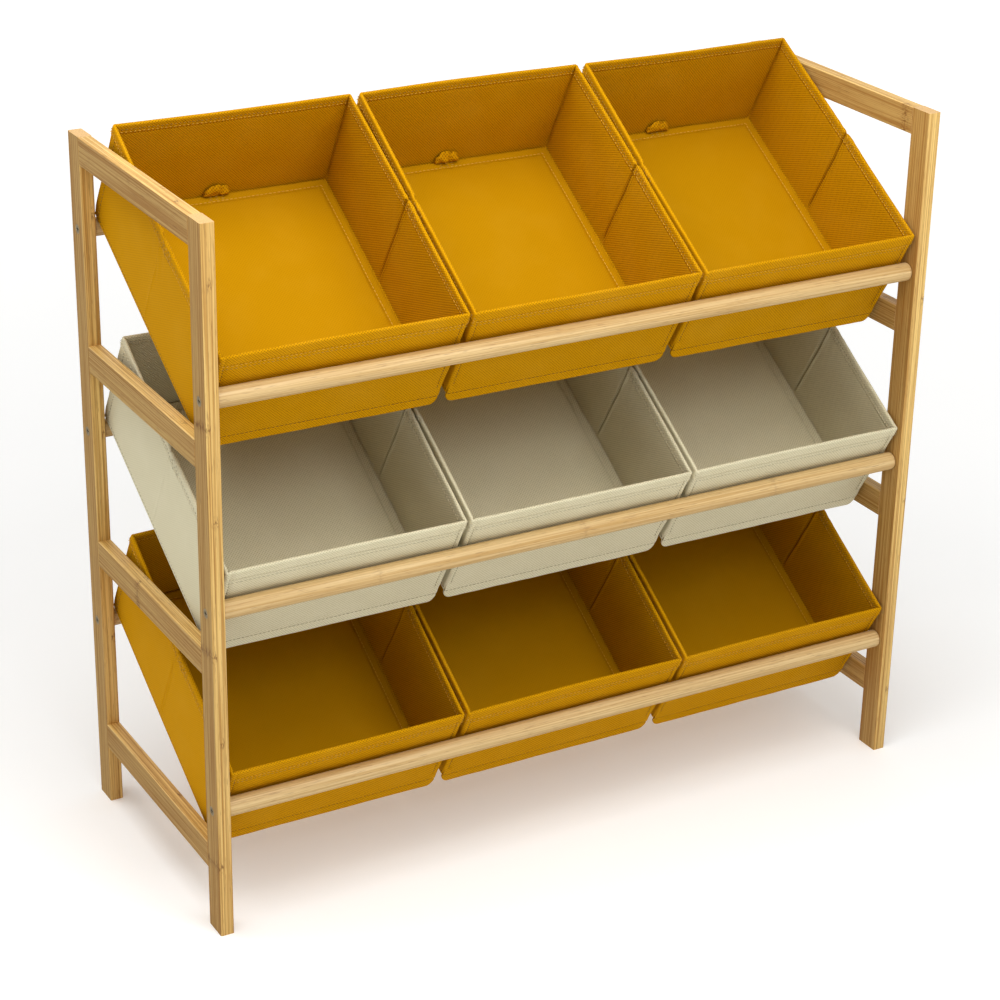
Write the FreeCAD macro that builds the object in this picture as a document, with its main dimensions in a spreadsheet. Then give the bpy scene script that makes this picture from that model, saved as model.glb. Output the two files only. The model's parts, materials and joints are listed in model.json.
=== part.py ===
import FreeCAD, Part
import math
import os
import Sketcher

# Bamboo shelf with three tiers of tilted cloth bins, in millimetres and degrees.
# The origin is on the floor at the middle of the shelf: X to the right, Y to the back, Z up.

tier_names = ["bottom", "middle", "top"]
column_names = ["left", "centre", "right"]
rail_names = ["bottom", "lower", "upper", "top"]

driving_sizes = {
    "lath_thick": 15,  # uprights and rails, left to right
    "lath_wide": 30,  # uprights front to back, rails top to bottom
    "lath_round": 1.5,  # eased edges of the laths
    "rail_long": 280,  # front upright to rear upright
    "foot_high": 69,  # floor to the underside of the lowest rails
    "tier_pitch": 227,  # one tier to the next
    "dowel_dia": 20,
    "dowel_round": 3,  # eased ends of the dowels
    "front_dowel_rise": 75,  # underside of a tier's rail to the axis of its front dowel
    "rear_dowel_rise": 155,  # the same for its rear dowel
    "screw_dia": 4.5,
    "screw_head": 10.4,
    "screw_cone": 90,  # countersunk head, side to side
    "screw_long": 50,
    "screw_tip": 6,
    "slot_long": 5.4,  # one arm of the cross recess, end to end
    "slot_wide": 1.3,
    "slot_deep": 1.8,
    "pin_dia": 6,
    "pin_deep": 14,  # reach of a rail pin into the rail, and into the upright
    "pin_inset": 7,  # rail edge to the axis of a pin
    "fit_gap": 0.1,  # round a screw or pin in its hole
    "bin_wide": 275,
    "bin_high": 128,
    "bin_wall": 3,
    "bin_round": 8,  # lower side edges of a bin
    "bin_skirt": 10,  # sewn edge of the front wall below the floor
    "bin_tilt": 31.5,  # fall of a bin's floor towards the front
    "bin_overhang": 10,  # floor of a bin past the point that rests on the rear dowel
    "bin_gap": 1.25,  # beside each bin
    "seat_gap": 0.3,  # pieces that rest on each other and can be lifted off
    "board_thick": 4,
    "board_play": 1.5,  # base board to the front and rear walls
    "tab_radius": 16,
    "tab_foot": 3,  # straight part of the pull tab below its half round
    "tab_thick": 2,
}

os.makedirs("parts", exist_ok=True)
doc = FreeCAD.newDocument("bin_shelf")
sheet = doc.addObject("Spreadsheet::Sheet", "sizes")
for row, (alias, size) in enumerate(driving_sizes.items(), start=1):
    sheet.set(f"A{row}", alias)
    sheet.set(f"B{row}", str(size))
    sheet.setAlias(f"B{row}", alias)
doc.recompute()

# Worked-out sizes and places, as expressions on the sheet.
columns = len(column_names)
tiers = len(tier_names)
rails = len(rail_names)
half_lath = "sizes.lath_wide / 2"
post_high = f"(sizes.foot_high + {rails - 1} * sizes.tier_pitch + sizes.lath_wide)"
post_apart = "(sizes.rail_long + sizes.lath_wide)"
dowel_long = f"({columns} * sizes.bin_wide + {columns + 1} * sizes.bin_gap)"
side_x = f"({dowel_long} + sizes.lath_thick) / 2"
outer_x = f"({dowel_long} / 2 + sizes.lath_thick)"
screw_hole = "(sizes.screw_dia + 2 * sizes.fit_gap)"
pin_hole = "(sizes.pin_dia + 2 * sizes.fit_gap)"
pin_hole_deep = "(sizes.pin_deep + sizes.fit_gap)"
dowel_seat = "(sizes.dowel_dia / 2 + sizes.seat_gap)"
dowel_climb = "(sizes.rear_dowel_rise - sizes.front_dowel_rise)"
tilt_cos = "cos(sizes.bin_tilt)"
tilt_sin = "sin(sizes.bin_tilt)"
bin_long = f"({post_apart} * {tilt_cos} + {dowel_climb} * {tilt_sin} - {dowel_seat} + sizes.bin_overhang)"
bin_inner = f"({bin_long} - 2 * sizes.bin_wall)"
board_long = f"({bin_inner} - 2 * sizes.board_play)"
board_wide = "(sizes.bin_wide - 2 * sizes.bin_round)"


def tier_base(tier):
    return f"(sizes.foot_high + {tier} * sizes.tier_pitch)"


def column_x(column):
    return f"{column - (columns - 1) / 2} * (sizes.bin_wide + sizes.bin_gap)"


def bin_corner(tier):
    # lower front edge of a bin whose front wall meets the front dowel and whose floor meets the rear one
    front_z = f"({tier_base(tier)} + sizes.front_dowel_rise)"
    rear_z = f"({tier_base(tier)} + sizes.rear_dowel_rise)"
    along = f"({front_z} * {tilt_sin} - {post_apart} / 2 * {tilt_cos} + {dowel_seat})"
    above = f"({rear_z} * {tilt_cos} - {post_apart} / 2 * {tilt_sin} + {dowel_seat})"
    return f"{along} * {tilt_cos} - {above} * {tilt_sin}", f"{along} * {tilt_sin} + {above} * {tilt_cos}"


# Helpers for sketches and features.
def value(expression):
    return float(sheet.evalExpression(expression))


def new_body(label):
    body = doc.addObject("PartDesign::Body", label)
    body.Label = label
    return body


def origin_plane(body, role):
    return next(feature for feature in body.Origin.OriginFeatures if feature.Role == role)


def new_sketch(body, name, role, lift="0"):
    sketch = body.newObject("Sketcher::SketchObject", name)
    sketch.AttachmentSupport = [(origin_plane(body, role), "")]
    sketch.MapMode = "FlatFace"
    sketch.setExpression("AttachmentOffset.Base.z", lift)
    return sketch


def relate(sketch, kind, *places):
    sketch.addConstraint(Sketcher.Constraint(kind, *places))


def measure(sketch, name, expression, kind, *places):
    index = sketch.addConstraint(Sketcher.Constraint(kind, *places, value(expression)))
    sketch.renameConstraint(index, name)
    sketch.setExpression(f"Constraints.{name}", expression)


def add_lines(sketch, points):
    ends = points[1:] + points[:1]
    count = len(points)
    for start, end in zip(points, ends):
        sketch.addGeometry(Part.LineSegment(FreeCAD.Vector(*start), FreeCAD.Vector(*end)), False)
    for line in range(count):
        relate(sketch, "Coincident", line, 2, (line + 1) % count, 1)


def add_rectangle(sketch, wide, tall, low):
    # centred on the sketch's upright axis, with its lower side at height low
    half, bottom, top = value(wide) / 2, value(low), value(low) + value(tall)
    add_lines(sketch, [(-half, bottom), (half, bottom), (half, top), (-half, top)])
    relate(sketch, "Symmetric", 0, 1, 0, 2, -2)
    relate(sketch, "Vertical", 1)
    relate(sketch, "Horizontal", 2)
    relate(sketch, "Vertical", 3)
    measure(sketch, "wide", wide, "DistanceX", 0, 1, 0, 2)
    measure(sketch, "tall", tall, "DistanceY", 1, 1, 1, 2)
    measure(sketch, "low", low, "DistanceY", -1, 1, 0, 1)


def add_circle(sketch, name, dia, x="0", y="0"):
    place = FreeCAD.Vector(value(x), value(y))
    circle = sketch.addGeometry(Part.Circle(place, FreeCAD.Vector(0, 0, 1), value(dia) / 2), False)
    measure(sketch, f"{name}_dia", dia, "Diameter", circle)
    measure(sketch, f"{name}_x", x, "DistanceX", -1, 1, circle, 3)
    measure(sketch, f"{name}_y", y, "DistanceY", -1, 1, circle, 3)


def add_trough(sketch, wide, tall, low, radius):
    # an upright rectangle with its two lower corners rounded
    half, bottom, top, bend = value(wide) / 2, value(low), value(low) + value(tall), value(radius)
    up = FreeCAD.Vector(0, 0, 1)
    flat, quarter = half - bend, math.pi / 2
    lines = [
        ((-flat, bottom), (flat, bottom)),
        ((half, bottom + bend), (half, top)),
        ((half, top), (-half, top)),
        ((-half, top), (-half, bottom + bend)),
    ]
    for start, end in lines:
        sketch.addGeometry(Part.LineSegment(FreeCAD.Vector(*start), FreeCAD.Vector(*end)), False)
    for x, turn in ((flat, -quarter), (-flat, 2 * quarter)):
        bend_circle = Part.Circle(FreeCAD.Vector(x, bottom + bend), up, bend)
        sketch.addGeometry(Part.ArcOfCircle(bend_circle, turn, turn + quarter), False)
    relate(sketch, "Tangent", 0, 2, 4, 1)
    relate(sketch, "Tangent", 4, 2, 1, 1)
    relate(sketch, "Coincident", 1, 2, 2, 1)
    relate(sketch, "Coincident", 2, 2, 3, 1)
    relate(sketch, "Tangent", 3, 2, 5, 1)
    relate(sketch, "Tangent", 5, 2, 0, 1)
    relate(sketch, "Horizontal", 0)
    relate(sketch, "Vertical", 1)
    relate(sketch, "Vertical", 3)
    relate(sketch, "Equal", 4, 5)
    relate(sketch, "Symmetric", 2, 1, 2, 2, -2)
    measure(sketch, "wide", wide, "DistanceX", 2, 2, 2, 1)
    measure(sketch, "tall", tall, "DistanceY", 0, 2, 1, 2)
    measure(sketch, "low", low, "DistanceY", -1, 1, 0, 2)
    measure(sketch, "bend", radius, "Radius", 4)


def add_pad(body, sketch, name, length, side="One side", back=False):
    pad = body.newObject("PartDesign::Pad", name)
    pad.Profile = sketch
    pad.SideType = side
    pad.Reversed = back
    pad.setExpression("Length", length)
    doc.recompute()
    return pad


def add_pocket(body, sketch, name, length, back=False):
    solid = body.Shape.Volume
    pocket = body.newObject("PartDesign::Pocket", name)
    pocket.Profile = sketch
    pocket.Reversed = back
    pocket.setExpression("Length", length)
    doc.recompute()
    if body.Shape.Volume >= solid:
        raise RuntimeError(f"{body.Label}: {name} cuts nothing")
    return pocket


def add_fillet(body, base, name, radius, edges):
    fillet = body.newObject("PartDesign::Fillet", name)
    fillet.Base = (base, edges)
    fillet.setExpression("Radius", radius)
    doc.recompute()
    return fillet


def add_pattern(body, cut, name, sketch, step, count):
    solid = body.Shape.Volume
    pattern = body.newObject("PartDesign::LinearPattern", name)
    pattern.Originals = [cut]
    pattern.Direction = (sketch, ["V_Axis"])
    pattern.Occurrences = count
    pattern.setExpression("Length", f"{step} * {count - 1}")
    body.Tip = pattern
    doc.recompute()
    if body.Shape.Volume >= solid:
        raise RuntimeError(f"{body.Label}: {name} repeats nothing")


def add_mirror(body, cut, name, role):
    mirror = body.newObject("PartDesign::Mirrored", name)
    mirror.Originals = [cut]
    mirror.MirrorPlane = (origin_plane(body, role), [""])
    body.Tip = mirror
    doc.recompute()


def edges_along(shape, axis):
    direction = FreeCAD.Vector(*axis)
    straight = [abs(edge.tangentAt(edge.FirstParameter).dot(direction)) > 0.99 for edge in shape.Edges]
    return [f"Edge{number}" for number, found in enumerate(straight, start=1) if found]


def round_edges(shape):
    circles = [isinstance(edge.Curve, Part.Circle) for edge in shape.Edges]
    return [f"Edge{number}" for number, found in enumerate(circles, start=1) if found]


def place(item, x="0", y="0", z="0", axis="0; 0; 1", angle="0"):
    spot = f"vector({x}; {y}; {z})"
    item.setExpression("Placement", f"placement({spot}; rotation(vector({axis}); {angle}))")
    return item


def copy_of(form, label, **spot):
    link = doc.addObject("App::Link", label)
    link.LinkedObject = form
    return place(link, **spot)


def new_group(label, copies):
    group = doc.addObject("Part::Compound", label)
    group.Label = label
    group.Links = copies
    return group


# An upright: a lath on end, with countersunk holes for the dowel screws in its outer face and blind holes
# for the rail pins in its inner edge.
def make_post(label, outer, dowel_rise):
    body = new_body(label)
    section = new_sketch(body, f"{label}_section", "XY_Plane")
    add_rectangle(section, "sizes.lath_thick", "sizes.lath_wide", f"-{half_lath}")
    lath = add_pad(body, section, f"{label}_lath", post_high)
    add_fillet(body, lath, f"{label}_edges", "sizes.lath_round", edges_along(lath.Shape, (0, 0, 1)))
    spots = new_sketch(body, f"{label}_screw_spots", "YZ_Plane", f"{outer} * sizes.lath_thick / 2")
    add_circle(spots, "screw", screw_hole, y=f"sizes.foot_high + {dowel_rise}")
    doc.recompute()
    hole = body.newObject("PartDesign::Hole", f"{label}_screw_hole")
    hole.Profile = spots
    hole.Threaded = False
    hole.DepthType = "ThroughAll"
    hole.HoleCutType = "Countersink"
    hole.HoleCutCustomValues = True
    hole.Reversed = outer < 0
    hole.setExpression("Diameter", screw_hole)
    hole.setExpression("HoleCutDiameter", "sizes.screw_head + 2 * sizes.fit_gap")
    hole.setExpression("HoleCutCountersinkAngle", "sizes.screw_cone")
    doc.recompute()
    add_pattern(body, hole, f"{label}_screw_holes", spots, "sizes.tier_pitch", tiers)
    pins = new_sketch(body, f"{label}_pin_spots", "XZ_Plane", f"-{half_lath}")
    add_circle(pins, "lower", pin_hole, y="sizes.foot_high + sizes.pin_inset")
    add_circle(pins, "upper", pin_hole, y="sizes.foot_high + sizes.lath_wide - sizes.pin_inset")
    pair = add_pocket(body, pins, f"{label}_pin_pair", pin_hole_deep, back=True)
    add_pattern(body, pair, f"{label}_pin_holes", pins, "sizes.tier_pitch", rails)
    return body


# A rail: a lath on edge, with a pair of blind pin holes in each end.
def make_rail(label):
    body = new_body(label)
    section = new_sketch(body, f"{label}_section", "XZ_Plane")
    add_rectangle(section, "sizes.lath_thick", "sizes.lath_wide", "0")
    lath = add_pad(body, section, f"{label}_lath", "sizes.rail_long", "Symmetric")
    add_fillet(body, lath, f"{label}_edges", "sizes.lath_round", edges_along(lath.Shape, (0, 1, 0)))
    pins = new_sketch(body, f"{label}_pin_spots", "XZ_Plane", "sizes.rail_long / 2")
    add_circle(pins, "lower", pin_hole, y="sizes.pin_inset")
    add_circle(pins, "upper", pin_hole, y="sizes.lath_wide - sizes.pin_inset")
    pair = add_pocket(body, pins, f"{label}_pin_pair", pin_hole_deep)
    add_mirror(body, pair, f"{label}_far_pins", "XZ_Plane")
    return body


# A dowel: a round bar with eased ends and a pilot hole for a screw in each.
def make_dowel(label):
    body = new_body(label)
    section = new_sketch(body, f"{label}_section", "YZ_Plane")
    add_circle(section, "bar", "sizes.dowel_dia")
    bar = add_pad(body, section, f"{label}_bar", dowel_long, "Symmetric")
    add_fillet(body, bar, f"{label}_ends", "sizes.dowel_round", round_edges(bar.Shape))
    pilot = new_sketch(body, f"{label}_pilot_spot", "YZ_Plane", f"{dowel_long} / 2")
    add_circle(pilot, "pilot", screw_hole)
    hole = add_pocket(body, pilot, f"{label}_pilot", "sizes.screw_long - sizes.lath_thick + sizes.fit_gap")
    add_mirror(body, hole, f"{label}_far_pilot", "YZ_Plane")
    return body


# A countersunk wood screw, head at the origin and point along Z, with a cross recess.
def make_screw(label):
    body = new_body(label)
    profile = new_sketch(body, f"{label}_profile", "XZ_Plane")
    head, shank = value("sizes.screw_head") / 2, value("sizes.screw_dia") / 2
    neck_deep = "(sizes.screw_head - sizes.screw_dia) / 2 / tan(sizes.screw_cone / 2)"
    neck, length = value(neck_deep), value("sizes.screw_long")
    straight_end = length - value("sizes.screw_tip")
    add_lines(profile, [(0, 0), (head, 0), (shank, neck), (shank, straight_end), (0, length)])
    relate(profile, "Coincident", 0, 1, -1, 1)
    relate(profile, "Horizontal", 0)
    relate(profile, "Vertical", 2)
    relate(profile, "Vertical", 4)
    measure(profile, "head", "sizes.screw_head / 2", "DistanceX", 0, 1, 0, 2)
    measure(profile, "shank", "sizes.screw_dia / 2", "DistanceX", 0, 1, 2, 1)
    measure(profile, "neck", neck_deep, "DistanceY", 0, 1, 2, 1)
    measure(profile, "length", "sizes.screw_long", "DistanceY", 0, 1, 3, 2)
    measure(profile, "tip", "sizes.screw_tip", "DistanceY", 3, 1, 3, 2)
    turned = body.newObject("PartDesign::Revolution", f"{label}_turned")
    turned.Profile = profile
    turned.ReferenceAxis = (profile, ["V_Axis"])
    turned.Angle = 360
    doc.recompute()
    arm = new_sketch(body, f"{label}_arm", "XY_Plane")
    add_rectangle(arm, "sizes.slot_long", "sizes.slot_wide", "-sizes.slot_wide / 2")
    slot = add_pocket(body, arm, f"{label}_slot", "sizes.slot_deep", back=True)
    cross = body.newObject("PartDesign::PolarPattern", f"{label}_cross")
    cross.Originals = [slot]
    cross.Axis = (arm, ["N_Axis"])
    cross.Angle = 90
    cross.Occurrences = 2
    body.Tip = cross
    doc.recompute()
    return body


# A bin: an open cloth shell with rounded lower side edges, whose front wall reaches below the floor as a
# sewn skirt; its origin is the lower front edge of its floor.
def make_bin(label):
    body = new_body(label)
    outside = new_sketch(body, f"{label}_outside", "XZ_Plane")
    add_trough(outside, "sizes.bin_wide", "sizes.bin_high", "0", "sizes.bin_round")
    add_pad(body, outside, f"{label}_block", bin_long, back=True)
    inside = new_sketch(body, f"{label}_inside", "XZ_Plane", "-sizes.bin_wall")
    inner_wide = "sizes.bin_wide - 2 * sizes.bin_wall"
    add_trough(inside, inner_wide, "sizes.bin_high", "sizes.bin_wall", "sizes.bin_round - sizes.bin_wall")
    add_pocket(body, inside, f"{label}_hollow", bin_inner)
    front = new_sketch(body, f"{label}_front", "XZ_Plane")
    front_tall = "sizes.bin_high + sizes.bin_skirt"
    add_trough(front, "sizes.bin_wide", front_tall, "-sizes.bin_skirt", "sizes.bin_round")
    add_pad(body, front, f"{label}_skirt", "sizes.bin_wall", back=True)
    return body


# A base board: a stiff sheet on the flat of a bin's floor, with a rounded front edge on which it lifts.
def make_board(label):
    body = new_body(label)
    sheet_side = new_sketch(body, f"{label}_side", "YZ_Plane")
    radius, length = value("sizes.board_thick") / 2, value(board_long)
    points = [(0, -radius), (length - radius, -radius), (length - radius, radius), (0, radius)]
    for start, end in zip(points[:-1], points[1:]):
        sheet_side.addGeometry(Part.LineSegment(FreeCAD.Vector(*start), FreeCAD.Vector(*end)), False)
    nose = Part.Arc(FreeCAD.Vector(0, radius), FreeCAD.Vector(-radius, 0), FreeCAD.Vector(0, -radius))
    sheet_side.addGeometry(nose, False)
    relate(sheet_side, "Coincident", 0, 2, 1, 1)
    relate(sheet_side, "Coincident", 1, 2, 2, 1)
    relate(sheet_side, "Tangent", 2, 2, 3, 1)
    relate(sheet_side, "Tangent", 3, 2, 0, 1)
    relate(sheet_side, "Coincident", 3, 3, -1, 1)
    relate(sheet_side, "Horizontal", 0)
    relate(sheet_side, "Vertical", 1)
    relate(sheet_side, "Horizontal", 2)
    measure(sheet_side, "thick", "sizes.board_thick", "DistanceY", 1, 1, 1, 2)
    measure(sheet_side, "long", f"{board_long} - sizes.board_thick / 2", "DistanceX", 3, 3, 1, 1)
    add_pad(body, sheet_side, f"{label}_sheet", board_wide, "Symmetric")
    return body


# A pull tab: a half-round tongue that stands on the rear edge of a base board.
def make_tab(label):
    body = new_body(label)
    outline = new_sketch(body, f"{label}_outline", "XZ_Plane")
    radius, foot = value("sizes.tab_radius"), value("sizes.tab_foot")
    points = [(-radius, foot), (-radius, 0), (radius, 0), (radius, foot)]
    for start, end in zip(points[:-1], points[1:]):
        outline.addGeometry(Part.LineSegment(FreeCAD.Vector(*start), FreeCAD.Vector(*end)), False)
    crown = FreeCAD.Vector(0, foot + radius)
    outline.addGeometry(Part.Arc(FreeCAD.Vector(radius, foot), crown, FreeCAD.Vector(-radius, foot)), False)
    relate(outline, "Coincident", 0, 2, 1, 1)
    relate(outline, "Coincident", 1, 2, 2, 1)
    relate(outline, "Tangent", 2, 2, 3, 1)
    relate(outline, "Tangent", 3, 2, 0, 1)
    relate(outline, "Vertical", 0)
    relate(outline, "Horizontal", 1)
    relate(outline, "Vertical", 2)
    relate(outline, "Symmetric", 1, 1, 1, 2, -1, 1)
    measure(outline, "foot", "sizes.tab_foot", "DistanceY", 2, 1, 2, 2)
    measure(outline, "radius", "sizes.tab_radius", "Radius", 3)
    add_pad(body, outline, f"{label}_tongue", "sizes.tab_thick")
    return body


# The rack: uprights and rails of the two sides, and the dowels between them.
nodes = []
sides = {"left": -1, "right": 1}
ends = {"front": (-1, "sizes.front_dowel_rise"), "rear": (1, "sizes.rear_dowel_rise")}
for end, (depth, dowel_rise) in ends.items():
    for side, across in sides.items():
        post = make_post(f"post_{end}_{side}", -across * depth, dowel_rise)
        turn = "0" if depth < 0 else "180"
        nodes.append(place(post, f"{across} * {side_x}", f"{depth} * {post_apart} / 2", angle=turn))
for side, across in sides.items():
    for level, rail_name in enumerate(rail_names):
        rail = make_rail(f"rail_{side}_{rail_name}")
        nodes.append(place(rail, f"{across} * {side_x}", z=tier_base(level)))
for end, (depth, dowel_rise) in ends.items():
    for tier, tier_name in enumerate(tier_names):
        dowel = make_dowel(f"dowel_{end}_{tier_name}")
        nodes.append(place(dowel, y=f"{depth} * {post_apart} / 2", z=f"{tier_base(tier)} + {dowel_rise}"))

# The screws through the uprights into the dowels.
screw = make_screw("screw_form")
screw_copies = []
for end, (depth, dowel_rise) in ends.items():
    for side, across in sides.items():
        for tier, tier_name in enumerate(tier_names):
            spot = {
                "x": f"{across} * {outer_x}",
                "y": f"{depth} * {post_apart} / 2",
                "z": f"{tier_base(tier)} + {dowel_rise}",
            }
            label = f"screw_{end}_{side}_{tier_name}"
            screw_copies.append(copy_of(screw, label, axis="0; 1; 0", angle=str(-90 * across), **spot))
nodes.append(new_group("dowel_screws", screw_copies))

# The wooden pins that hold the rails to the uprights.
pin = doc.addObject("Part::Cylinder", "pin_form")
pin.setExpression("Radius", "sizes.pin_dia / 2")
pin.setExpression("Height", "2 * sizes.pin_deep")
pin_copies = []
pin_rises = {"lower": "sizes.pin_inset", "upper": "sizes.lath_wide - sizes.pin_inset"}
for side, across in sides.items():
    for end, (depth, dowel_rise) in ends.items():
        for level, rail_name in enumerate(rail_names):
            for pin_name, rise in pin_rises.items():
                spot = {
                    "x": f"{across} * {side_x}",
                    "y": f"{depth} * sizes.rail_long / 2 + sizes.pin_deep",
                    "z": f"{tier_base(level)} + {rise}",
                }
                label = f"pin_{side}_{end}_{rail_name}_{pin_name}"
                pin_copies.append(copy_of(pin, label, axis="1; 0; 0", angle="90", **spot))
nodes.append(new_group("rail_pins", pin_copies))

# The bins, each with its base board and the board's pull tab.
board_front = "(sizes.bin_wall + sizes.board_play + sizes.board_thick / 2)"
board_rear = f"({bin_long} - sizes.bin_wall - sizes.board_play)"
board_middle = "(sizes.bin_wall + sizes.seat_gap + sizes.board_thick / 2)"
board_top = "(sizes.bin_wall + sizes.seat_gap + sizes.board_thick)"
for tier, tier_name in enumerate(tier_names):
    corner_y, corner_z = bin_corner(tier)
    for column, column_name in enumerate(column_names):
        name = f"{tier_name}_{column_name}"
        inside_bin = [
            (make_bin(f"bin_{name}"), "0", "0"),
            (make_board(f"base_board_{name}"), board_front, board_middle),
            (make_tab(f"pull_tab_{name}"), board_rear, board_top),
        ]
        for piece, along, above in inside_bin:
            piece_y = f"{corner_y} + {along} * {tilt_cos} - {above} * {tilt_sin}"
            piece_z = f"{corner_z} + {along} * {tilt_sin} + {above} * {tilt_cos}"
            nodes.append(place(piece, column_x(column), piece_y, piece_z, "1; 0; 0", "sizes.bin_tilt"))

# Every object must have come out right before anything is written.
doc.recompute()
failed = [item.Name for item in doc.Objects if "Invalid" in item.State or "Error" in item.State]
failed += [node.Label for node in nodes if node.Shape.isNull() or not node.Shape.isValid()]
if failed:
    raise RuntimeError("not built: " + ", ".join(failed))
for node in nodes:
    node.Shape.exportStep(f"parts/{node.Label}.step")
print(len(nodes), "sub-parts written")
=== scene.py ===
import json
import math

import bpy
import numpy as np
from mathutils import Matrix, Vector


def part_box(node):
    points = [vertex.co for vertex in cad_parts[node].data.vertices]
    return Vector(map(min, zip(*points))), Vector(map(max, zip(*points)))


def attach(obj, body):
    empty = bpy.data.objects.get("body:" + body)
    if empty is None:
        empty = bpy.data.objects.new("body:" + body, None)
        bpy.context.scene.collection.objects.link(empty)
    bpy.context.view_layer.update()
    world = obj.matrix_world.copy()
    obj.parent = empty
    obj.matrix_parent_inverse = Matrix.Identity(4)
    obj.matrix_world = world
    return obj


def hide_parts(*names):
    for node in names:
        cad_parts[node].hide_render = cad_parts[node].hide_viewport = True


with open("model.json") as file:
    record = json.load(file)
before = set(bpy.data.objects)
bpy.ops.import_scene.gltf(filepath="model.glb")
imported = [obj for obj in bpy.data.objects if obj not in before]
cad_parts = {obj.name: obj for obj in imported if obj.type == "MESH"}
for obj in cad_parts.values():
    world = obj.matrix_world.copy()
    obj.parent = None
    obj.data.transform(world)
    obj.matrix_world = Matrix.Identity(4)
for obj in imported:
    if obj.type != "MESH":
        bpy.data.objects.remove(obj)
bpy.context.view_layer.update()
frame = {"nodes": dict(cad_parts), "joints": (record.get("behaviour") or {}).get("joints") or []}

mm = 0.001
tierNames = ["bottom", "middle", "top"]
columnNames = ["left", "centre", "right"]
tierCloth = {"bottom": "mustard", "middle": "cream", "top": "mustard"}

# every bin lifts square to its own floor, so that joint gives the tilt
binUp = Vector(next(joint["axis"] for joint in frame["joints"] if joint["type"] == "slide")).normalized()
binAlong = Vector((0, binUp.z, -binUp.y))  # down the middle of the floor, front to rear


def linear(hexText):
    shares = [int(hexText[place:place + 2], 16) / 255 for place in (1, 3, 5)]
    return [s / 12.92 if s <= 0.04045 else ((s + 0.055) / 1.055) ** 2.4 for s in shares] + [1.0]


def addToScene(name, data):
    piece = bpy.data.objects.new(name, data)
    bpy.context.scene.collection.objects.link(piece)
    return piece


def addNode(tree, kind, inputs=None, **settings):
    node = tree.nodes.new(kind if "Node" in kind else f"ShaderNode{kind}")
    for name, setting in settings.items():
        setattr(node, name, setting)
    for socket, source in (inputs or {}).items():
        if isinstance(source, bpy.types.Node):
            source = source.outputs[0]
        if isinstance(source, bpy.types.NodeSocket):
            tree.links.new(source, node.inputs[socket])
        else:
            node.inputs[socket].default_value = source
    return node


def newMaterial(name):
    material = bpy.data.materials.new(name)
    material.use_nodes = True
    material.node_tree.nodes.clear()
    return material, material.node_tree


def finishMaterial(material, sockets):
    shader = addNode(material.node_tree, "BsdfPrincipled", sockets)
    addNode(material.node_tree, "OutputMaterial", {"Surface": shader})
    return material


# Finishes

bambooLook = {
    "light": "#E9C578",
    "dark": "#AA7830",
    "joint": "#6A3C14",
    "cutEnd": "#CDA468",
    "fibre": 1.6,  # mm across a fibre bundle, drawn about three times as coarse as real so that it shows
    "fibreRun": 190,  # mm along the grain
    "streak": 4,  # mm across the broad streaks
    "streakRun": 420,
    "fleck": 0.9,  # mm across the short dark pores
    "fleckRun": 16,
    "dash": 1.3,  # mm across the dark dashes beside a joint
    "dashRun": 6,
    "jointEvery": 245,  # mm between the plant's own joints in one strip
    "jointLine": (1.6, 3.2),  # mm from a joint where its dark line starts to fade and is gone
    "jointEdge": (2.2, 3),  # mm across and depth of that line's ragged edge
    "jointReach": 9,  # mm of dashes on each side of a joint
    "jointFrom": 0.45,  # chance above which a strip shows its joints
    "stripShift": 40,  # so that no strip continues its neighbour's figure
    "glue": 0.5,  # mm, dark line between strips
    "fibreEnd": 1.4,  # mm between the dots of a sawn end
    "tone": {"fibre": 0.66, "streak": 0.17, "strip": 0.16},  # what each adds to the darkness
    "strength": {"fleck": 0.4, "joint": 0.5, "glue": 0.4},
    "roughness": (0.4, 0.56),
    "relief": 0.15,  # mm
}
bambooMarks = {  # detail of each noise, and the part of it that shows
    "fibre": (2, 0.38, 0.62),
    "streak": (2, 0.34, 0.66),
    "fleck": (1, 0.62, 0.74),
    "dash": (1, 0.5, 0.62),
}


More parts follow.
